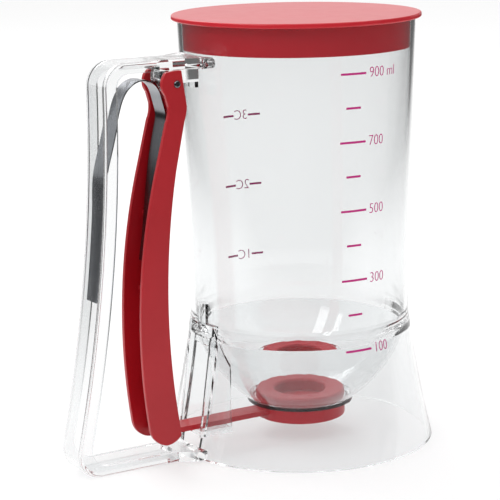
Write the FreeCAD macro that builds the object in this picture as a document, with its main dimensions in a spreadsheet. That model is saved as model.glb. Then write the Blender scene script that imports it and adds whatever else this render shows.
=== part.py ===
import FreeCAD, Part
import math
import os
import re
import Sketcher

# Pancake batter dispenser: a clear measuring vessel on a flared skirt, with a clear C-shaped handle.
# Squeezing the red trigger against its leaf spring draws the red slide valve from under the outlet.
# The Z axis is the vessel's axis, Z = 0 is the table, and the handle stands out along -X.
os.makedirs("parts", exist_ok=True)
doc = FreeCAD.newDocument("batter_dispenser")
sheet = doc.addObject("Spreadsheet::Sheet", "sizes")

# Driving dimensions in millimetres and degrees.
SIZES = {
    # Vessel, bowl and skirt
    "rim_z": 183,
    "rim_radius": 50.55,
    "waist_z": 57,
    "waist_radius": 47.5,
    "wall": 1.8,
    "foot_radius": 58,
    "skirt_curve": 525,
    "notch_z": 49,
    "notch_width": 1.1,
    "bowl_top_z": 55,
    "bowl_curve": 62,
    "bowl_wall": 2,
    "neck_radius": 23.4,
    "outlet_radius": 12.6,
    "outlet_plate": 1.2,
    "outlet_z": 15.4,
    "outlet_ledge": 0.75,
    "outlet_step": 0.4,
    # Doorway and guide in the skirt, where the valve's arm goes through
    "door_width": 16,
    "door_top_z": 47,
    "guide_wall": 1.6,
    "guide_inner_x": 40.6,
    "guide_foot_x": 56,
    "guide_head_x": 49.4,
    "guide_bottom_z": 8.9,
    "lintel_top_z": 56.5,
    "lintel_bottom_z": 51.6,
    "key_width": 5.6,
    "key_height": 8.5,
    "key_proud": 1.4,
    "key_rise": 5.6,
    # Handle
    "handle_width": 17,
    "handle_wall": 2,
    "handle_depth": 6.1,
    "arm_depth": 4.4,
    "handle_top_z": 170.4,
    "handle_back_x": 96.3,
    "handle_foot_x": 112.6,
    "handle_foot_z": 13,
    "handle_curve": 640,
    "top_corner": 10,
    "foot_corner": 10,
    "foot_setback": 10.4,
    "handle_edge": 1.4,
    "pad_half": 14.2,
    "pad_tip": 2.6,
    "pad_run": 8.5,
    "pad_nose": 1.8,
    "bond_gap": 0.1,
    "lug_width": 13,
    "lug_gap": 0.2,
    "lug_round": 4,
    # Trigger
    "trigger_width": 18,
    "cheek": 2,
    "web": 2,
    "ear_rise": 5.5,
    "ear_radius": 7,
    "trigger_tip_z": 8.4,
    "rib_thick": 1.8,
    "pivot_x": 63.1,
    "pivot_drop": 10.2,
    "pin_radius": 1.5,
    "pin_proud": 0.5,
    "pin_clearance": 0.05,
    # Slide valve
    "disc_radius": 19.7,
    "disc_height": 6.7,
    "disc_wall": 2.2,
    "disc_edge": 0.8,
    "arm_width": 9.4,
    "arm_thick": 2.2,
    "arm_drop": 1.5,
    "seat_gap": 0.2,
    "link_x": 71.2,
    "link_rise": 5.8,
    "link_radius": 1.6,
    "link_side_gap": 0.3,
    "link_groove": 1.1,
    "link_travel": 2.8,
    "link_eye": 2.4,
    "run_gap": 0.3,
    # Outlet seal
    "seal_radius": 19.6,
    "seal_height": 4,
    "seal_bore": 11.3,
    "seal_fit": 0.15,
    "seal_edge": 1.3,
    # Leaf spring
    "spring_width": 8.8,
    "spring_thick": 0.5,
    "spring_gap": 0.3,
    "spring_drop": 87.4,
    "hoop_span": 27.6,
    "hoop_drop": 22,
    "tail_out": 12.7,
    "tail_drop": 73.5,
    # Lid
    "lid_radius": 53.1,
    "lid_thick": 2,
    "lid_edge": 0.7,
    "plug_bottom_z": 171,
    "plug_wall": 1.6,
    "plug_gap": 0.3,
    # Printed scales
    "print_thick": 0.12,
    "print_gap": 0.02,
    "tick_height": 0.9,
}

# Sizes worked out from the driving ones.
DERIVED = {
    "pivot_z": "handle_top_z - pivot_drop",
    "trigger_top_z": "pivot_z + ear_rise",
    "key_top_z": "pivot_z + key_rise",
    "seal_floor_z": "outlet_z + outlet_plate",
    "seal_top_z": "seal_floor_z + seal_height",
    "bowl_floor_radius": "seal_radius + outlet_ledge",
    "wall_slope": "(rim_radius - waist_radius) / (rim_z - waist_z)",
    "bowl_top_radius": "waist_radius - wall + (bowl_top_z - waist_z) * wall_slope",
    "notch_radius": "waist_radius - 1.3",
    "notch_outer": "notch_radius + notch_width",
    "corner_z": "handle_top_z - top_corner",
    "arm_under_z": "handle_top_z - arm_depth",
    "key_x": "rim_radius - (rim_z - key_top_z) * wall_slope + key_proud",
    "neck_top_z": "seal_floor_z + outlet_step",
    "disc_top_z": "outlet_z - seat_gap",
    "arm_top_z": "disc_top_z - arm_drop",
    "arm_bottom_z": "arm_top_z - arm_thick",
    "link_z": "arm_top_z + link_rise",
    "guide_top_z": "arm_bottom_z - run_gap",
    "cheek_inner": "trigger_width / 2 - cheek",
    "handle_side": "handle_width / 2",
    "plug_radius": "rim_radius - wall - plug_gap + (plug_bottom_z - rim_z) * wall_slope",
}

row_number = 1
for alias, value in SIZES.items():
    sheet.set("A%d" % row_number, alias)
    sheet.set("B%d" % row_number, str(value))
    sheet.setAlias("B%d" % row_number, alias)
    row_number += 1
for alias, formula in DERIVED.items():
    sheet.set("A%d" % row_number, alias)
    sheet.set("B%d" % row_number, "=" + formula)
    sheet.setAlias("B%d" % row_number, alias)
    row_number += 1
doc.recompute()
work = doc.addObject("Spreadsheet::Sheet", "work")
WORK_CELL = "A1"
known = {}


def number(formula):
    """The value of a formula on the sheet's names."""
    formula = str(formula)
    if formula not in known:
        work.set(WORK_CELL, "=" + linked(formula))
        work.recompute()
        known[formula] = float(work.get(WORK_CELL))
    return known[formula]


def linked(formula):
    """The same formula as another object writes it."""
    return re.sub(r"\b[a-z][a-z0-9_]*\b(?!\()", r"sizes.\g<0>", str(formula))


def bind(item, prop, formula):
    item.setExpression(prop, linked(formula))


def new_body(label):
    body = doc.addObject("PartDesign::Body", label)
    body.Label = label
    return body


def origin_plane(body, role):
    return next(item for item in body.Origin.OriginFeatures if item.Role == role)


def new_sketch(body, name, role="XZ_Plane", shift=None):
    sketch = body.newObject("Sketcher::SketchObject", name)
    sketch.AttachmentSupport = [(origin_plane(body, role), "")]
    sketch.MapMode = "FlatFace"
    if shift is not None:
        bind(sketch, "AttachmentOffset.Base.z", shift)
    return sketch


def outline(sketch, corners):
    """A closed outline. Each corner is (x, y) or (x, y, r), where an arc of radius r runs to the next corner,
    anticlockwise if r is positive and clockwise if it is negative."""
    spots = [FreeCAD.Vector(number(c[0]), number(c[1]), 0) for c in corners]
    turns = [number(c[2]) if len(c) == 3 else 0 for c in corners]
    ends = []
    for index, turn in enumerate(turns):
        start = spots[index]
        end = spots[(index + 1) % len(spots)]
        if turn == 0:
            sketch.addGeometry(Part.LineSegment(start, end), False)
            ends.append((1, 2))
            continue
        low, high = (start, end) if turn > 0 else (end, start)
        half = (high - low) * 0.5
        across = FreeCAD.Vector(-half.y, half.x, 0).normalize()
        centre = low + half + across * math.sqrt(max(turn ** 2 - half.Length ** 2, 0))
        first = math.atan2(low.y - centre.y, low.x - centre.x)
        last = math.atan2(high.y - centre.y, high.x - centre.x)
        if last <= first:
            last += 2 * math.pi
        ring = Part.Circle(centre, FreeCAD.Vector(0, 0, 1), abs(turn))
        sketch.addGeometry(Part.ArcOfCircle(ring, first, last), False)
        ends.append((1, 2) if turn > 0 else (2, 1))
    for index, corner in enumerate(corners):
        before = (index - 1) % len(corners)
        joined = Sketcher.Constraint("Coincident", before, ends[before][1], index, ends[index][0])
        sketch.addConstraint(joined)
        hold(sketch, ("DistanceX", -1, 1, index, ends[index][0]), corner[0])
        hold(sketch, ("DistanceY", -1, 1, index, ends[index][0]), corner[1])
        if len(corner) == 3 and abs(turns[index]) * 2 > (spots[(index + 1) % len(spots)] - spots[index]).Length + 1e-6:
            hold(sketch, ("Radius", index), "abs(%s)" % corner[2])
    doc.recompute()


def hold(sketch, what, formula):
    """One dimension of a sketch, bound to the sheet."""
    place = sketch.addConstraint(Sketcher.Constraint(*what, number(formula)))
    bind(sketch, "Constraints[%d]" % place, formula)


def circle(sketch, x, y, radius):
    """A circle with its centre and radius bound to the sheet."""
    ring = Part.Circle(FreeCAD.Vector(number(x), number(y), 0), FreeCAD.Vector(0, 0, 1), number(radius))
    index = sketch.addGeometry(ring, False)
    hold(sketch, ("DistanceX", -1, 1, index, 3), x)
    hold(sketch, ("DistanceY", -1, 1, index, 3), y)
    hold(sketch, ("Radius", index), radius)
    doc.recompute()


def turned(body, name, corners, feature_type="PartDesign::Revolution"):
    """A half section turned all the way round the vessel's axis."""
    sketch = new_sketch(body, name + "_section")
    outline(sketch, corners)
    feature = body.newObject(feature_type, name)
    feature.Profile = sketch
    feature.ReferenceAxis = (sketch, ["V_Axis"])
    feature.Angle = 360
    doc.recompute()
    return feature


def padded(body, name, corners, width, role="XZ_Plane", shift=None, middle=True, back=False):
    sketch = new_sketch(body, name + "_outline", role, shift)
    outline(sketch, corners)
    feature = body.newObject("PartDesign::Pad", name)
    feature.Profile = sketch
    feature.Midplane = middle
    feature.Reversed = back
    bind(feature, "Length", width)
    doc.recompute()
    return feature


def pocket(body, name, sketch, width):
    """A cut as wide as width, half of it on each side of the symmetry plane."""
    before = body.Shape.Volume
    feature = body.newObject("PartDesign::Pocket", name)
    feature.Profile = sketch
    feature.Midplane = True
    bind(feature, "Length", width)
    doc.recompute()
    if body.Shape.Volume > before - 0.01:
        raise RuntimeError(name + " cuts nothing")
    return feature


def cut(body, name, corners, width):
    sketch = new_sketch(body, name + "_outline")
    outline(sketch, corners)
    return pocket(body, name, sketch, width)


def bore(body, name, x, z, radius, width):
    sketch = new_sketch(body, name + "_circle")
    circle(sketch, x, z, radius)
    return pocket(body, name, sketch, width)


def rounded(body, name, radius, keep):
    """Rounds the edges for which keep is true."""
    names = ["Edge%d" % (place + 1) for place, edge in enumerate(body.Shape.Edges) if keep(edge)]
    feature = body.newObject("PartDesign::Fillet", name)
    feature.Base = (body.Group[-2], names)
    bind(feature, "Radius", radius)
    doc.recompute()
    return feature


def is_ring(edge, radius, height):
    """Is the edge a full circle about the vessel's axis with this radius and height?"""
    if not isinstance(edge.Curve, Part.Circle):
        return False
    off_axis = math.hypot(edge.Curve.Center.x, edge.Curve.Center.y)
    return off_axis < 0.01 and abs(edge.Curve.Radius - radius) < 0.01 and abs(edge.Curve.Center.z - height) < 0.01


# The vessel is one clear moulding: a measuring wall, a bowl that runs down to the outlet, and a flared skirt to
# stand on, with a doorway and a guide for the valve's arm.
vessel = new_body("vessel")
turned(vessel, "Wall_bowl_skirt", [
    ("rim_radius", "rim_z"),
    ("waist_radius", "waist_z", "skirt_curve"),
    ("foot_radius", 0),
    ("foot_radius - wall", 0, "-skirt_curve"),
    ("notch_outer", "notch_z"),
    ("notch_radius", "notch_z", "-bowl_curve"),
    ("neck_radius", "neck_top_z"),
    ("neck_radius", "outlet_z"),
    ("outlet_radius", "outlet_z"),
    ("outlet_radius", "seal_floor_z"),
    ("bowl_floor_radius", "seal_floor_z", "bowl_curve - bowl_wall"),
    ("bowl_top_radius", "bowl_top_z"),
    ("rim_radius - wall", "rim_z"),
])
cut(vessel, "Doorway", [
    ("-(foot_radius + wall)", "-wall"),
    ("-(notch_radius + 0.1)", "-wall"),
    ("-(notch_radius + 0.1)", "door_top_z"),
    ("-(foot_radius + wall)", "door_top_z"),
], "door_width")
GUIDE_SIDE = [
    ("-guide_foot_x", "guide_bottom_z"),
    ("-guide_inner_x", "guide_bottom_z"),
    ("-guide_inner_x", "notch_z - 10.2"),
    ("-(notch_radius - 1.3)", "notch_z - 0.4"),
    ("-(waist_radius - 1.7)", "lintel_top_z"),
    ("-guide_head_x", "lintel_top_z"),
]
padded(vessel, "Guide_side_far", GUIDE_SIDE, "guide_wall", shift="-(door_width / 2 + guide_wall)", middle=False)
padded(vessel, "Guide_side_near", GUIDE_SIDE, "guide_wall", shift="door_width / 2", middle=False)
padded(vessel, "Lintel", [
    ("-(guide_head_x + 0.7)", "lintel_bottom_z"),
    ("-(waist_radius - 1.3)", "lintel_bottom_z"),
    ("-(waist_radius - 1.3)", "lintel_top_z"),
    ("-guide_head_x", "lintel_top_z"),
], "door_width + 2 * guide_wall")
padded(vessel, "Guide_floor", [
    ("-(guide_foot_x - 1)", "guide_bottom_z"),
    ("-guide_inner_x", "guide_bottom_z"),
    ("-guide_inner_x", "guide_top_z"),
    ("-(guide_foot_x - 1)", "guide_top_z"),
], "door_width + 2 * guide_wall")
for name, top, wall_x in (("Upper_key", "key_top_z", "key_x"),
                          ("Lower_key", "lintel_top_z + key_height", "waist_radius + key_proud")):
    padded(vessel, name, [
        ("-(%s)" % wall_x, "%s - key_height" % top),
        ("-(%s - key_proud - wall / 2)" % wall_x, "%s - key_height" % top),
        ("-(%s - key_proud - wall / 2)" % wall_x, top),
        ("-(%s)" % wall_x, top),
    ], "key_width")

# The outlet seal is a soft red ring that lies in the bowl's floor and comes down to the valve.
outlet_seal = new_body("outlet_seal")
turned(outlet_seal, "Ring", [
    ("seal_bore", "disc_top_z + seat_gap / 2"),
    ("outlet_radius - seal_fit", "disc_top_z + seat_gap / 2"),
    ("outlet_radius - seal_fit", "seal_floor_z"),
    ("seal_radius", "seal_floor_z"),
    ("seal_radius", "seal_top_z"),
    ("seal_bore", "seal_top_z"),
])
rounded(outlet_seal, "Ring_edges", "seal_edge", lambda edge: any(
    is_ring(edge, number(r), number("seal_top_z")) for r in ("seal_radius", "seal_bore")))

# The handle is a clear C-shaped channel, open on its inner side. A pad at each end is bonded to the vessel, and
# a lug under its upper arm carries the trigger's pin.
handle = new_body("handle")
padded(handle, "Strap", [
    ("-rim_radius", "handle_top_z"),
    ("-(handle_back_x - top_corner)", "handle_top_z", "top_corner"),
    ("-handle_back_x", "corner_z", "-handle_curve"),
    ("-handle_foot_x", "handle_foot_z", "foot_corner + 0.65"),
    ("-(handle_foot_x - foot_setback)", 0),
    ("-foot_radius", 0),
    ("-foot_radius", "arm_depth"),
    ("-(handle_foot_x - foot_setback - 2.7)", "arm_depth", "-(foot_corner - 2)"),
    ("-(handle_foot_x - handle_depth)", "handle_foot_z", "handle_curve - handle_depth"),
    ("-(handle_back_x - handle_depth)", "corner_z", "-(top_corner - arm_depth)"),
    ("-(handle_back_x - handle_depth - top_corner + arm_depth)", "arm_under_z"),
    ("-rim_radius", "arm_under_z"),
], "handle_width")
OUTER_ROUND = ("top_corner", "handle_curve", "foot_corner + 0.65")
rounded(handle, "Strap_edges", "handle_edge", lambda edge: abs(
    abs(edge.CenterOfMass.y) - number("handle_side")) < 0.01 and (
    (isinstance(edge.Curve, Part.Circle)
     and any(abs(edge.Curve.Radius - number(r)) < 0.01 for r in OUTER_ROUND))
    or abs(edge.CenterOfMass.z - number("handle_top_z")) < 0.01))
cut(handle, "Channel", [
    ("-(pivot_x + lug_round + 3)", "handle_top_z - handle_wall"),
    ("-(handle_back_x - top_corner)", "handle_top_z - handle_wall", "top_corner - handle_wall"),
    ("-(handle_back_x - handle_wall)", "corner_z", "-(handle_curve + handle_wall)"),
    ("-(handle_foot_x - handle_wall)", "handle_foot_z", "foot_corner + 0.65 - handle_wall"),
    ("-(handle_foot_x - foot_setback)", "handle_wall"),
    ("-(foot_radius + 4)", "handle_wall"),
    ("-(foot_radius + 4)", "arm_depth + 2"),
    ("-(handle_foot_x - foot_setback - 4)", "arm_depth + 2"),
    ("-(handle_foot_x - handle_depth - 2)", "handle_foot_z", "handle_curve"),
    ("-(handle_back_x - handle_depth - 2)", "corner_z"),
    ("-(pivot_x + lug_round + 3)", "corner_z"),
], "handle_width - 2 * handle_wall")
for name, level, reach in (("Upper_pad", "arm_under_z", "rim_radius"), ("Lower_pad", 0, "foot_radius")):
    padded(handle, name, [
        ("-(%s + pad_run)" % reach, "handle_side"),
        ("-(%s + pad_run)" % reach, "-handle_side"),
        ("-(%s - 1)" % reach, "-pad_half"),
        ("-(%s - 1 - pad_tip)" % reach, "-pad_half"),
        ("-(%s - 1 - pad_tip)" % reach, "pad_half"),
        ("-(%s - 1)" % reach, "pad_half"),
    ], "arm_depth", role="XY_Plane", shift=level, middle=False)
rounded(handle, "Pad_noses", "pad_nose", lambda edge: abs(
    abs(edge.CenterOfMass.y) - number("pad_half")) < 0.01 and abs(edge.tangentAt(edge.FirstParameter).x) > 0.9)
padded(handle, "Lug", [
    ("-(key_x + lug_gap)", "handle_top_z - handle_wall"),
    ("-(pivot_x + lug_round)", "handle_top_z - handle_wall"),
    ("-(pivot_x + lug_round)", "pivot_z", "lug_round"),
    ("-(pivot_x - lug_round)", "pivot_z"),
    ("-(key_x + lug_gap)", "pivot_z"),
], "lug_width")
bore(handle, "Pin_bore", "-pivot_x", "pivot_z", "pin_radius", "handle_width")
turned(handle, "Fit_to_vessel", [
    (0, "-wall"),
    ("foot_radius + bond_gap", "-wall"),
    ("foot_radius + bond_gap", 0, "-skirt_curve"),
    ("waist_radius + bond_gap", "waist_z"),
    ("rim_radius + bond_gap", "rim_z"),
    (0, "rim_z"),
], "PartDesign::Groove")

# The trigger is a red lever, a channel open towards the handle, with cross ribs and an ear each side of the lug.
trigger = new_body("trigger")
padded(trigger, "Lever", [
    ("-(pivot_x - 2)", "trigger_top_z"),
    ("-(pivot_x + 0.8)", "trigger_top_z"),
    ("-(pivot_x + ear_radius * 0.7071)", "pivot_z + ear_radius * 0.7071", "ear_radius"),
    ("-(pivot_x + ear_radius * 0.7855)", "pivot_z - ear_radius * 0.6189"),
    ("-(pivot_x + 4.2)", "pivot_z - 9", "-12"),
    ("-(pivot_x + 5.4)", "pivot_z - 15.7"),
    ("-(pivot_x + 9.9)", "pivot_z - 33", "268"),
    ("-(link_x + 8.4)", "trigger_tip_z + 7.6", "9"),
    ("-(link_x + 0.8)", "trigger_tip_z", "9"),
    ("-(link_x - 6.1)", "trigger_tip_z + 3.4"),
    ("-(link_x - 5.4)", "trigger_tip_z + 9", "-320"),
    ("-(pivot_x + 1.5)", "pivot_z - 36"),
    ("-(pivot_x - 2.9)", "pivot_z - 15.6", "18"),
    ("-(pivot_x - 4.2)", "pivot_z - 9.2"),
], "trigger_width")
cut(trigger, "Trough", [
    ("-pivot_x", "trigger_top_z + 1"),
    ("-(pivot_x - 4.2 + web)", "pivot_z - 9.2", "-16"),
    ("-(pivot_x - 2.9 + web)", "pivot_z - 15.6"),
    ("-(pivot_x + 1.5 + web)", "pivot_z - 36", "320"),
    ("-(link_x - 5.4 + web)", "trigger_tip_z + 9"),
    ("-(link_x - 5.4 + web)", "trigger_tip_z - 1"),
    ("-handle_back_x", "trigger_tip_z - 1"),
    ("-handle_back_x", "trigger_top_z + 1"),
], "2 * cheek_inner")
cut(trigger, "Lug_gap", [
    ("-(pivot_x - 8)", "trigger_top_z + 1"),
    ("-(pivot_x + 3)", "trigger_top_z + 1"),
    ("-(pivot_x + 3)", "pivot_z - 8"),
    ("-(pivot_x - 8)", "pivot_z - 8"),
], "2 * cheek_inner")
cut(trigger, "Arm_notch", [
    ("-(link_x - 8)", "trigger_tip_z - 1"),
    ("-(link_x - 8)", "arm_top_z + arm_thick"),
    ("-(link_x - 2)", "arm_top_z + arm_thick"),
    ("-(link_x - 2)", "trigger_tip_z - 1"),
], "arm_width + 4 * run_gap")
cut(trigger, "Link_grooves", [
    ("-(link_x - link_radius - link_side_gap)", "link_z + link_radius + link_side_gap"),
    ("-(link_x + link_radius + link_side_gap)", "link_z + link_radius + link_side_gap"),
    ("-(link_x + link_radius + link_side_gap)", "link_z - link_radius - link_side_gap - link_travel"),
    ("-(link_x - link_radius - link_side_gap)", "link_z - link_radius - link_side_gap - link_travel"),
], "2 * (cheek_inner + link_groove)")
# Each rib stands on the web: its height above the table, the web's inner face there, and how far it stands out.
RIBS = [
    ("pivot_z - 12.7", "pivot_x - 1.4", "3.1"),
    ("pivot_z - 54", "pivot_x + 6.2", "3.1"),
    ("pivot_z - 86", "pivot_x + 8.6", "3.4"),
    ("pivot_z - 124", "pivot_x + 7.4", "3.4"),
]
for place, (level, foot, reach) in enumerate(RIBS, 1):
    padded(trigger, "Rib_%d" % place, [
        ("-(%s - web / 2)" % foot, "%s - rib_thick / 2" % level),
        ("-(%s - web / 2)" % foot, "%s + rib_thick / 2" % level),
        ("-(%s + %s)" % (foot, reach), "%s + rib_thick / 2" % level),
        ("-(%s + %s)" % (foot, reach), "%s - rib_thick / 2" % level),
    ], "2 * cheek_inner + cheek")
bore(trigger, "Ear_bores", "-pivot_x", "pivot_z", "pin_radius + pin_clearance", "trigger_width + cheek")

# The steel pivot pin is pressed into the handle's lug, and its ends carry the trigger's ears.
pivot_pin = new_body("pivot_pin")
pin_sketch = new_sketch(pivot_pin, "Pin_circle")
circle(pin_sketch, "-pivot_x", "pivot_z", "pin_radius")
pin_pad = pivot_pin.newObject("PartDesign::Pad", "Pin")
pin_pad.Profile = pin_sketch
pin_pad.Midplane = True
bind(pin_pad, "Length", "trigger_width + 2 * pin_proud")
doc.recompute()
rounded(pivot_pin, "Pin_ends", "pin_radius * 0.4", lambda edge: isinstance(edge.Curve, Part.Circle))

# The valve slider is one red moulding: a cap that closes the outlet from below, a flat arm that runs through the
# guide, and an eye with two stub pins that ride in the trigger's grooves.
valve_slider = new_body("valve_slider")
turned(valve_slider, "Cap", [
    (0, "disc_top_z"),
    ("disc_radius", "disc_top_z"),
    ("disc_radius", "disc_top_z - disc_height"),
    ("disc_radius - disc_wall", "disc_top_z - disc_height"),
    ("disc_radius - disc_wall", "disc_top_z - disc_wall"),
    (0, "disc_top_z - disc_wall"),
])
rounded(valve_slider, "Cap_edges", "disc_edge", lambda edge: is_ring(
    edge, number("disc_radius"), number("disc_top_z")) or is_ring(
    edge, number("disc_radius"), number("disc_top_z - disc_height")))
padded(valve_slider, "Arm", [
    ("-(disc_radius - disc_wall / 2)", "arm_top_z"),
    ("-(link_x + link_eye)", "arm_top_z"),
    ("-(link_x + link_eye)", "arm_bottom_z"),
    ("-(disc_radius - disc_wall / 2)", "arm_bottom_z"),
], "arm_width")
padded(valve_slider, "Eye", [
    ("-(link_x - link_eye)", "arm_bottom_z"),
    ("-(link_x - link_eye)", "link_z + link_eye"),
    ("-(link_x + link_eye)", "link_z + link_eye"),
    ("-(link_x + link_eye)", "arm_bottom_z"),
], "arm_width")
stub_sketch = new_sketch(valve_slider, "Stub_circle")
circle(stub_sketch, "-link_x", "link_z", "link_radius")
stub_pad = valve_slider.newObject("PartDesign::Pad", "Stubs")
stub_pad.Profile = stub_sketch
stub_pad.Midplane = True
bind(stub_pad, "Length", "2 * (cheek_inner + link_groove - run_gap)")
doc.recompute()

# The lid is a red disc that lies on the rim, with a plug ring that stands inside the wall. It lifts straight off.
lid = new_body("lid")
turned(lid, "Disc_and_plug", [
    (0, "rim_z + lid_thick"),
    ("lid_radius", "rim_z + lid_thick"),
    ("lid_radius", "rim_z"),
    ("rim_radius - wall - plug_gap", "rim_z"),
    ("plug_radius", "plug_bottom_z"),
    ("plug_radius - plug_wall", "plug_bottom_z"),
    ("plug_radius - plug_wall", "rim_z"),
    (0, "rim_z"),
])
rounded(lid, "Disc_edges", "lid_edge", lambda edge: is_ring(
    edge, number("lid_radius"), number("rim_z + lid_thick")) or is_ring(
    edge, number("lid_radius"), number("rim_z")))


def arc_x(level, top, foot, radius):
    """X of an arc at a height, where the arc runs from top to foot, each (x, z), and bulges towards +X."""
    half = (foot - top) * 0.5
    inward = FreeCAD.Vector(half.y, -half.x, 0).normalize()
    centre = top + half + inward * math.sqrt(radius ** 2 - half.Length ** 2)
    return centre.x + math.sqrt(radius ** 2 - (level - centre.y) ** 2)


# The leaf spring is a strip of spring steel, bent to a hoop. One leg lies on the floor of the handle's channel
# and the other on the trigger's ribs. It is a plain sheet along a curve, so its shape is made from its route.
back_top = FreeCAD.Vector(-number("handle_back_x"), number("corner_z"), 0)
back_foot = FreeCAD.Vector(-number("handle_foot_x"), number("handle_foot_z"), 0)
half_thick = number("spring_thick") / 2
stand_off = number("handle_wall + spring_gap") + half_thick
pivot_x = number("pivot_x")
pivot_z = number("pivot_z")
route = []
for share in (1, 0.847, 0.698, 0.549, 0.423):
    level = pivot_z - number("spring_drop") * share
    route.append((arc_x(level, back_top, back_foot, number("handle_curve")) + stand_off, level))
# The hoop's points from the pivot, as shares of its span outwards and of its drop downwards.
HOOP = [(1, 1), (0.877, 0.409), (0.739, 0.064), (0.486, -0.095), (0.257, 0.036), (0.156, 0.364), (0.116, 0.577),
        (0.145, 0.818), (0.228, 1.27)]
for out, down in HOOP:
    route.append((-(pivot_x + number("hoop_span") * out), pivot_z - number("hoop_drop") * down))
level, foot, reach = RIBS[1]
route.append((-number("%s + %s + spring_gap" % (foot, reach)) - half_thick, number(level)))
route.append((-(pivot_x + number("tail_out")), pivot_z - number("tail_drop")))
line = Part.BSplineCurve()
line.interpolate([FreeCAD.Vector(x, 0, z) for x, z in route])
samples = [line.value(line.FirstParameter + (line.LastParameter - line.FirstParameter) * step / 60)
           for step in range(61)]
sides = []
for side in (half_thick, -half_thick):
    spots = []
    for step, spot in enumerate(samples):
        along = samples[min(step + 1, 60)] - samples[max(step - 1, 0)]
        across = FreeCAD.Vector(along.z, 0, -along.x).normalize()
        spots.append(spot + across * side)
    curve = Part.BSplineCurve()
    curve.interpolate(spots)
    sides.append(curve)
edges = [
    sides[0].toShape(),
    Part.LineSegment(sides[0].EndPoint, sides[1].EndPoint).toShape(),
    sides[1].toShape(),
    Part.LineSegment(sides[1].StartPoint, sides[0].StartPoint).toShape(),
]
strip = Part.Face(Part.Wire(Part.__sortEdges__(edges)))
leaf_spring = doc.addObject("Part::Feature", "leaf_spring")
leaf_spring.Label = "leaf_spring"
strip.translate(FreeCAD.Vector(0, -number("spring_width") / 2, 0))
leaf_spring.Shape = strip.extrude(FreeCAD.Vector(0, number("spring_width"), 0))


def wall_radius(level):
    """The vessel's outer radius at a height."""
    if level >= number("waist_z"):
        return number("waist_radius") + (level - number("waist_z")) * number("wall_slope")
    waist = FreeCAD.Vector(-number("waist_radius"), number("waist_z"), 0)
    foot = FreeCAD.Vector(-number("foot_radius"), 0, 0)
    return -arc_x(level, waist, foot, number("skirt_curve"))


def tick(share, start, span):
    """A printed line on the wall: a thin curved solid. Its height is a share of the rim's, and its angles are
    degrees from +X."""
    middle = number("rim_z") * share
    half_height = number("tick_height") / 2
    corners = []
    for level in (middle - half_height, middle + half_height):
        inner = wall_radius(level) + number("print_gap")
        pair = [FreeCAD.Vector(inner, 0, level), FreeCAD.Vector(inner + number("print_thick"), 0, level)]
        corners += pair if not corners else pair[::-1]
    face = Part.Face(Part.makePolygon(corners + corners[:1]))
    face.rotate(FreeCAD.Vector(0, 0, 0), FreeCAD.Vector(0, 0, 1), start)
    return face.revolve(FreeCAD.Vector(0, 0, 0), FreeCAD.Vector(0, 0, 1), span)


def printed(label, ticks):
    scale = doc.addObject("Part::Feature", label)
    scale.Label = label
    scale.Shape = Part.makeCompound([tick(*place) for place in ticks])
    return scale


# The printed scales are millilitres on the near side and cups on the far side, as thin lines of ink. Each line is
# its height as a share of the rim's, its start and its span in degrees.
ML_LONG = [(0.2612, -99.2, 14.7), (0.4257, -100.8, 14.3), (0.5863, -101.4, 13.9), (0.7421, -102, 13.7),
           (0.8951, -101.7, 13.3)]
ML_SHORT = [(0.3448, -97.1, 7.9), (0.5066, -98.2, 7.9), (0.6645, -98.7, 7.7), (0.8191, -98.9, 7.6)]
ml_scale = printed("ml_scale", ML_LONG + ML_SHORT)
CUPS = (0.3907, 0.5672, 0.7404)
cup_scale = printed("cup_scale", [(share, start, 7) for share in CUPS for start in (78, 94)])

PIECES = [vessel, outlet_seal, handle, trigger, pivot_pin, valve_slider, lid, leaf_spring, ml_scale, cup_scale]
doc.recompute()
for item in doc.Objects:
    if "Invalid" in item.State or "Error" in item.State:
        raise RuntimeError("%s failed: %s" % (item.Label, item.State))
for piece in PIECES:
    shape = piece.Shape
    if shape.isNull() or not shape.isValid():
        raise RuntimeError(piece.Label + " has no valid shape")
    print("%-14s %d solids %9.1f mm3 box %s" % (
        piece.Label, len(shape.Solids), shape.Volume,
        [round(v, 1) for v in (shape.BoundBox.XMin, shape.BoundBox.YMin, shape.BoundBox.ZMin,
                               shape.BoundBox.XMax, shape.BoundBox.YMax, shape.BoundBox.ZMax)]))
    shape.exportStep("parts/%s.step" % piece.Label)
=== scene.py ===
import math

import bpy
from mathutils import Matrix, Vector


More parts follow.
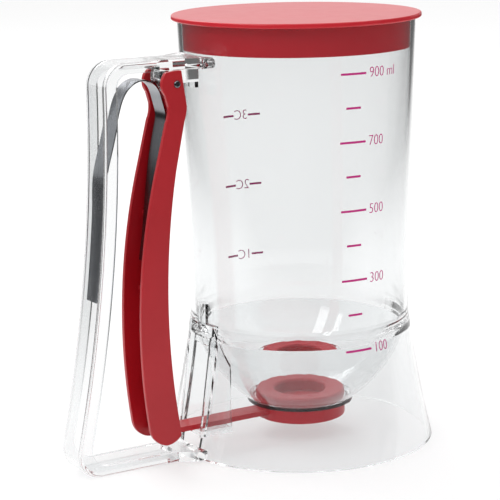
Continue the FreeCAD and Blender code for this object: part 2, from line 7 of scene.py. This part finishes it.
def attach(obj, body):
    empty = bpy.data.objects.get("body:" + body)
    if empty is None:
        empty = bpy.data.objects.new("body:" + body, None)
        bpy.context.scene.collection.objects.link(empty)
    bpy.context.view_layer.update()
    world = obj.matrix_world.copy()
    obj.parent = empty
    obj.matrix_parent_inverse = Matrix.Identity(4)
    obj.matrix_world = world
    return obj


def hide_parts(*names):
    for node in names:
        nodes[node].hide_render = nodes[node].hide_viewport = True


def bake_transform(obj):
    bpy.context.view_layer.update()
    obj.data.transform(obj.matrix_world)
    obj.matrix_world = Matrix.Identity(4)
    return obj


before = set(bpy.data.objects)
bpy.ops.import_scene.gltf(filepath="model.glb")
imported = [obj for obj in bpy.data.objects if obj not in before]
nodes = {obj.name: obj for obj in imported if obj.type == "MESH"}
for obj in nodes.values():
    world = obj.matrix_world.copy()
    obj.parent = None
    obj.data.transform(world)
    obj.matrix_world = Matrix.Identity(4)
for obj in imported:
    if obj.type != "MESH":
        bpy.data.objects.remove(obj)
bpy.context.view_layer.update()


# The vessel is injection-moulded in clear styrene-acrylic: a measuring wall, a bowl down to the outlet, and a
# flared skirt to stand on. The handle is a second clear moulding, a channel bonded to the wall above and to the
# foot below.
class Number:
    """A value on its way through a material. Sums with it add their Math nodes."""

    def __init__(self, finish, socket):
        self.finish = finish
        self.socket = socket

    def sum(self, operation, first, second):
        return self.finish.node("ShaderNodeMath", {"operation": operation}, {0: first, 1: second})

    def __add__(self, other):
        return self.sum("ADD", self, other)

    def __radd__(self, other):
        return self.sum("ADD", other, self)

    def __sub__(self, other):
        return self.sum("SUBTRACT", self, other)

    def __rsub__(self, other):
        return self.sum("SUBTRACT", other, self)

    def __mul__(self, other):
        return self.sum("MULTIPLY", self, other)

    def __rmul__(self, other):
        return self.sum("MULTIPLY", other, self)

    def at_most(self, limit):
        return self.sum("MINIMUM", self, limit)


class Finish:
    """A material whose plain values sit on the shader's own sockets."""

    def __init__(self, name, values):
        self.material = bpy.data.materials.new(name)
        self.material.use_nodes = True
        self.tree = self.material.node_tree
        self.shader = self.tree.nodes["Principled BSDF"]
        self.surface = Number(self, self.shader.outputs[0])
        for socket, value in values.items():
            self.shader.inputs[socket].default_value = value

    def node(self, kind, settings=None, sockets=None, output=0):
        """Adds a node. Its settings come first, then the values or links of its sockets."""
        made = self.tree.nodes.new(kind)
        for name, value in (settings or {}).items():
            if name == "stops":
                ramp = made.color_ramp.elements
                while len(ramp) < len(value):
                    ramp.new(1)
                for stop, (place, colour) in zip(ramp, value):
                    stop.position = place
                    stop.color = (*colour, 1)
            else:
                setattr(made, name, value)
        for socket, value in (sockets or {}).items():
            if isinstance(value, Number):
                self.tree.links.new(value.socket, made.inputs[socket])
            else:
                made.inputs[socket].default_value = value
        return Number(self, made.outputs[output])

    def place(self, scale=(1, 1, 1)):
        """The point on the object, in metres, stretched by scale."""
        spot = self.node("ShaderNodeTexCoord", output="Object")
        return self.node("ShaderNodeMapping", {}, {"Vector": spot, "Scale": scale})

    def cloud(self, size, scale=(1, 1, 1), detail=2):
        """Soft noise from 0 to 1, with features of about that size in metres."""
        settings = {"Vector": self.place(scale), "Scale": 1 / size, "Detail": detail}
        return self.node("ShaderNodeTexNoise", {}, settings, output="Fac")

    def ramp(self, amount, *stops):
        """A colour that runs through stops, each with its place and its colour."""
        return self.node("ShaderNodeValToRGB", {"stops": stops}, {0: amount})

    def tint(self, amount, low, high):
        """A colour from low to high."""
        return self.ramp(amount, (0, low), (1, high))

    def bump(self, height, strength, distance):
        sockets = {"Height": height, "Strength": strength, "Distance": distance}
        return self.node("ShaderNodeBump", {}, sockets)

    def ray(self, kind):
        """What the light path says of the ray, such as Is Camera Ray."""
        return self.node("ShaderNodeLightPath", output=kind)

    def along(self, vector, axis):
        """How far a vector reaches along an axis."""
        return self.node("ShaderNodeVectorMath", {"operation": "DOT_PRODUCT"}, {0: vector, 1: axis}, "Value")

    def fade(self, value, start, end):
        """Rises from 0 at the start to 1 at the end."""
        return self.node("ShaderNodeMapRange", {}, {"Value": value, "From Min": start, "From Max": end})

    def feed(self, **links):
        """Links values to the shader's sockets."""
        for socket, value in links.items():
            self.tree.links.new(value.socket, self.shader.inputs[socket.replace("_", " ")])

    def cover(self, share, other):
        """Puts another shader over a share of the surface."""
        self.surface = self.node("ShaderNodeMixShader", {}, {0: share, 1: self.surface, 2: other})
        self.tree.links.new(self.surface.socket, self.tree.nodes["Material Output"].inputs["Surface"])


def coat(node, finish):
    """Gives a node one finish all over."""
    node.data.materials.clear()
    node.data.materials.append(finish.material)
    for face in node.data.polygons:
        face.material_index = 0


CLEAR_LOW = (0.905, 0.915, 0.918)
CLEAR_HIGH = (0.935, 0.942, 0.944)
CLEAR_THROUGH = (0.88, 0.885, 0.89, 1)
clear = Finish("clear_plastic", {"Transmission Weight": 1.0, "IOR": 1.5})
flow = clear.cloud(0.045, (1, 1, 0.35))
clear.feed(
    Base_Color=clear.tint(flow, CLEAR_LOW, CLEAR_HIGH),
    Roughness=0.012 + clear.cloud(0.008) * 0.02,
    Normal=clear.bump(flow, 0.12, 0.0012),
)
# Light on its way to or from a matt surface goes straight through, so that what stands inside is lit.
clear.cover(
    clear.ray("Is Shadow Ray") + clear.ray("Is Diffuse Ray"),
    clear.node("ShaderNodeBsdfTransparent", {}, {"Color": CLEAR_THROUGH}),
)
coat(nodes["vessel"], clear)
coat(nodes["handle"], clear)

# The outlet seal is a soft silicone ring, moulded in red. It lies on the bowl's floor with its spigot pressed by
# hand through the outlet, and the valve closes against its lower lip.
silicone = Finish("red_silicone", {"IOR": 1.42})
bloom = silicone.cloud(0.004)
silicone.feed(
    Base_Color=silicone.tint(bloom, (0.47, 0.012, 0.024), (0.56, 0.02, 0.034)),
    Roughness=0.36 + bloom * 0.14,
    Normal=silicone.bump(silicone.cloud(0.0006), 0.1, 0.0002),
)
coat(nodes["outlet_seal"], silicone)

# The lid and the slide valve are mouldings in one glossy red polypropylene. The lid is a disc with a plug ring
# that drops inside the rim, and the valve is a cap on a flat arm.
red = Finish("red_plastic", {"IOR": 1.49, "Specular IOR Level": 0.5})
swirl = red.cloud(0.03)
red.feed(
    Base_Color=red.tint(swirl, (0.52, 0.008, 0.018), (0.585, 0.012, 0.024)),
    Roughness=0.27 + red.cloud(0.006) * 0.06,
    Normal=red.bump(red.cloud(0.004), 0.03, 0.0002),
)
coat(nodes["lid"], red)
coat(nodes["valve_slider"], red)

# The trigger is moulded by itself. Its red is a darker copy of the lid's red: painted shade for its cheeks,
# which face away from the light. Its long edges are rounded for the fingers that squeeze it towards the handle.
SAME_POINT = 0.000002
EDGE_ROUND = 0.0008
SHARPEST_SMOOTH = 35
# A darker copy of the red plastic, as painted shade.
shaded_red = Finish("red_plastic_painted_shade", {"IOR": 1.49, "Specular IOR Level": 0.5})
marble = shaded_red.cloud(0.02)
shaded_red.feed(
    Base_Color=shaded_red.tint(marble, (0.41, 0.006, 0.012), (0.49, 0.009, 0.018)),
    Roughness=0.3 + shaded_red.cloud(0.006) * 0.1,
    Normal=shaded_red.bump(shaded_red.cloud(0.0014), 0.06, 0.0003),
)
coat(nodes["trigger"], shaded_red)
nodes["trigger"].modifiers.new("joined", "WELD").merge_threshold = SAME_POINT
softened = nodes["trigger"].modifiers.new("softened_edges", "BEVEL")
softened.width = EDGE_ROUND
softened.segments = 3
softened.limit_method = "ANGLE"
softened.angle_limit = math.radians(SHARPEST_SMOOTH)

# The pivot pin is steel, pressed through the handle's lug, and the trigger's ears turn on it. The leaf spring is
# of the same steel.
steel = Finish("rolled_steel", {"Metallic": 1.0, "Anisotropic": 0.35})
grain = steel.cloud(0.0006, (0.02, 1, 0.02), 3)
steel.feed(
    Base_Color=steel.tint(steel.cloud(0.012), (0.26, 0.27, 0.29), (0.34, 0.35, 0.37)),
    Roughness=0.16 + grain * 0.16,
    Normal=steel.bump(grain, 0.08, 0.0001),
)
coat(nodes["pivot_pin"], steel)

# The leaf spring is rolled strip with fine lines along its length. Its mesh is copied here into a strip of its
# own, as it stands, and the frame's spring is hidden.
coat(nodes["leaf_spring"], steel)
strip_mesh = nodes["leaf_spring"].data.copy()
strip_mesh.transform(nodes["leaf_spring"].matrix_world)
strip = bpy.data.objects.new("spring_strip", strip_mesh)
bpy.context.scene.collection.objects.link(strip)
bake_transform(strip)
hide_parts("leaf_spring")

# The scales are screen printed in crimson ink on the outside of the wall: millilitres on the near side, cups on
# the far side. The lines are in the frame, and the numerals are added here and wrapped round the wall.
ink = Finish("crimson_ink", {"IOR": 1.45})
speckle = ink.cloud(0.0008)
ink.feed(
    Base_Color=ink.tint(speckle, (0.5, 0.008, 0.17), (0.6, 0.015, 0.24)),
    Roughness=0.42 + speckle * 0.15,
)
coat(nodes["ml_scale"], ink)
coat(nodes["cup_scale"], ink)

WAIST_Z = 0.057
WAIST_R = 0.0475
FOOT_R = 0.058
RIM_Z = 0.183
RIM_R = 0.05055
SKIRT_CURVE = 0.525
INK_GAP = 0.00002
INK_THICK = 0.00012
INK_THIN = 0.0001
INK_MERGE = 0.000001
CAPITAL_SHARE = 0.7
ML_HEIGHT = 0.0043
ML_SQUEEZE = 0.88
ML_NUMERALS = (
    ("900 ml", 0.1638, -86.6), ("700", 0.1358, -86.6), ("500", 0.1073, -85.9), ("300", 0.0779, -84.9),
    ("100", 0.0478, -82.9))
CUP_HEIGHT = 0.0044
CUP_ANGLE = 89.5
CUP_NUMERALS = (("3C", 0.1355), ("2C", 0.1038), ("1C", 0.0715))


def wall_radius(level):
    """The outer radius of the wall and the skirt at a height."""
    if level >= WAIST_Z:
        return WAIST_R + (level - WAIST_Z) * (RIM_R - WAIST_R) / (RIM_Z - WAIST_Z)
    half = Vector(((FOOT_R - WAIST_R) / 2, -WAIST_Z / 2))
    across = Vector((-half.y, half.x)).normalized()
    centre = Vector((WAIST_R, WAIST_Z)) + half + across * math.sqrt(SKIRT_CURVE ** 2 - half.length ** 2)
    return centre.x - math.sqrt(SKIRT_CURVE ** 2 - (level - centre.y) ** 2)


def numeral(name, words, height, start, level, squeeze=1, centred=False):
    """Plain words in ink, wrapped round the wall from an angle in degrees, at a height in metres."""
    bpy.ops.object.select_all(action="DESELECT")
    bpy.ops.object.text_add()
    text = bpy.context.object
    text.data.body = words
    text.data.size = height / CAPITAL_SHARE
    text.data.extrude = INK_THICK / 2
    text.data.resolution_u = 6
    text.data.offset = -INK_THIN
    text.data.align_x = "CENTER" if centred else "LEFT"
    text.data.align_y = "CENTER"
    bpy.ops.object.convert(target="MESH")
    made = bpy.context.object
    made.name = name
    for vertex in made.data.vertices:
        along, up, out = vertex.co
        z = level + up
        turn = math.radians(start) + squeeze * along / wall_radius(level)
        radius = wall_radius(z) + INK_GAP + INK_THICK / 2 + out
        vertex.co = (radius * math.cos(turn), radius * math.sin(turn), z)
    bpy.ops.object.mode_set(mode="EDIT")
    bpy.ops.mesh.select_all(action="SELECT")
    bpy.ops.mesh.remove_doubles(threshold=INK_MERGE)
    bpy.ops.mesh.normals_make_consistent(inside=False)
    bpy.ops.object.mode_set(mode="OBJECT")
    made.data.materials.append(ink.material)
    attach(made, "base")


for words, level, start in ML_NUMERALS:
    numeral("numeral_" + words.split()[0], words, ML_HEIGHT, start, level, squeeze=ML_SQUEEZE)
for words, level in CUP_NUMERALS:
    numeral("numeral_" + words, words, CUP_HEIGHT, CUP_ANGLE, level, centred=True)

# The floor is a white sweep. Where a ray has been reflected, its near end and its sides are painted dark, a
# painted reflection of a dark room, which gives the clear parts their dark lines.
FLOOR_REACH = 9
FLOOR_DROP = 0.0002
AHEAD_ON_FLOOR = (0.53, 0.85, 0)
RIGHT_ON_FLOOR = (0.85, -0.53, 0)
OWN_LIGHT = 0.45
OWN_LIGHT_THROUGH = 0.1
bpy.ops.object.select_all(action="DESELECT")
bpy.ops.mesh.primitive_circle_add(
    vertices=64, radius=FLOOR_REACH, fill_type="NGON", location=(0, 0, -FLOOR_DROP))
floor = bpy.context.object
floor.name = "floor"
sweep = Finish("white_sweep", {"Base Color": (0.97, 0.97, 0.97, 1), "Roughness": 0.6, "Specular IOR Level": 0.2})
seen = (sweep.ray("Is Camera Ray") + sweep.ray("Is Glossy Ray")) * OWN_LIGHT
seen = seen + sweep.ray("Is Transmission Ray") * OWN_LIGHT_THROUGH
sweep.cover(seen, sweep.node("ShaderNodeEmission", {}, {"Color": (1, 1, 1, 1)}))
# Painted reflection: for reflected rays, the near end and the sides of the floor glow dark.
near = sweep.fade(sweep.along(sweep.place(), AHEAD_ON_FLOOR), -0.12, -0.32)
across = sweep.along(sweep.place(), RIGHT_ON_FLOOR)
beside = sweep.fade(across * across, 0.1, 0.35)
painted_dark_share = (near + beside - near * beside) * sweep.ray("Glossy Depth").at_most(1)
dark = sweep.tint(sweep.ray("Is Transmission Ray"), (0.04, 0.04, 0.04), (0.16, 0.16, 0.16))
sweep.cover(painted_dark_share, sweep.node("ShaderNodeEmission", {}, {"Color": dark}))
coat(floor, sweep)

# The camera stands where the photograph was taken: a little above the rim, and to the left of the front. Its
# place, its turns and its lens were fitted to the vessel's outline.
CAMERA_SPOT = Vector((-0.4271, -0.6704, 0.2548))
CAMERA_LENS = 134.48
SENSOR_WIDTH = 36
TURN = math.radians(-32.5)
YAW = math.radians(1.523)
PITCH = math.radians(12.253)
ROLL = math.radians(-0.959)
ahead = Vector((-math.sin(YAW) * math.cos(PITCH), math.cos(YAW) * math.cos(PITCH), -math.sin(PITCH)))
level_right = Vector((math.cos(YAW), math.sin(YAW), 0))
level_up = level_right.cross(ahead)
right = level_right * math.cos(ROLL) + level_up * math.sin(ROLL)
up = level_up * math.cos(ROLL) - level_right * math.sin(ROLL)
turned = Matrix.Rotation(TURN, 3, "Z")
axes = Matrix((turned @ right, turned @ up, turned @ -ahead)).transposed().to_4x4()
bpy.ops.object.camera_add()
camera = bpy.context.object
camera.matrix_world = Matrix.Translation(CAMERA_SPOT) @ axes
camera.data.lens = CAMERA_LENS
camera.data.sensor_width = SENSOR_WIDTH
camera.data.clip_start = 0.05
camera.data.clip_end = 50
bpy.context.scene.camera = camera

# The light is a white tent, bright above and beyond the object and dark towards the room. One soft box stands
# high on the left, and one high behind.
OVERHEAD = (1.15, 1.15, 1.15, 1)
BACKGROUND = (1, 1, 1, 1)
LAMP_AIM = (0, 0, 0.09)
LAMP_SIZE = 0.9
LAMP_POWER = 9
world = bpy.data.worlds.new("tent")
bpy.context.scene.world = world
world.use_nodes = True
tent = world.node_tree
for node in list(tent.nodes):
    tent.nodes.remove(node)


class Tent(Finish):
    """The world's nodes, built by the same methods as a material's."""

    def __init__(self, tree):
        self.tree = tree

    def where(self, share, colour, other):
        """One colour of sky for a share of the rays or of the sky, and the other for the rest."""
        return self.node("ShaderNodeMix", {"data_type": "RGBA"}, {0: share, 6: other, 7: colour}, output=2)


air = Tent(tent)
direction = air.node("ShaderNodeTexCoord", output="Generated")
view = turned @ Vector((ahead.x, ahead.y, 0)).normalized()
round_view = air.along(direction, view) * 0.5 + 0.5
mirrored = air.ramp(
    round_view, (0, (0.03, 0.03, 0.032)), (0.3, (0.05, 0.05, 0.053)), (0.6, (0.1, 0.1, 0.105)),
    (0.76, (0.3, 0.3, 0.305)), (0.92, (1, 1, 1)))
refracted = air.ramp(round_view, (0, (0.42, 0.42, 0.43)), (0.5, (0.6, 0.6, 0.61)), (0.75, (1, 1, 1)))
matt = air.ramp(round_view, (0, (0.28, 0.28, 0.28)), (0.5, (0.6, 0.6, 0.6)), (0.8, (0.9, 0.9, 0.9)))
height = air.node("ShaderNodeSeparateXYZ", {}, {0: direction}, output="Z")
colour = air.where(air.ray("Is Transmission Ray"), refracted, mirrored)
colour = air.where(air.ray("Is Diffuse Ray"), matt, colour)
colour = air.where(air.fade(height, 0.5, 0.8), OVERHEAD, colour)
colour = air.where(air.ray("Is Camera Ray"), BACKGROUND, colour)
sky = air.node("ShaderNodeBackground", {}, {"Color": colour, "Strength": 1.0})
out = tent.nodes.new("ShaderNodeOutputWorld")
tent.links.new(sky.socket, out.inputs["Surface"])


def soft_box(name, spot):
    """A square area lamp at a spot, turned towards the object."""
    bpy.ops.object.light_add(type="AREA", location=spot)
    lamp = bpy.context.object
    lamp.name = name
    lamp.data.shape = "SQUARE"
    lamp.data.size = LAMP_SIZE
    lamp.data.energy = LAMP_POWER
    lamp.rotation_mode = "QUATERNION"
    lamp.rotation_quaternion = (Vector(LAMP_AIM) - Vector(spot)).to_track_quat("-Z", "Y")


soft_box("key", (-1.3, -0.35, 1.25))
soft_box("behind", (-0.05, 1.1, 1.3))

# Light crosses many clear walls here, so it may bounce often. Colours are shown as they are, with no film look
# over them.
BOUNCES = 32
bpy.context.scene.view_settings.view_transform = "Standard"
bpy.context.scene.cycles.max_bounces = BOUNCES
bpy.context.scene.cycles.transmission_bounces = BOUNCES
bpy.context.scene.cycles.glossy_bounces = BOUNCES
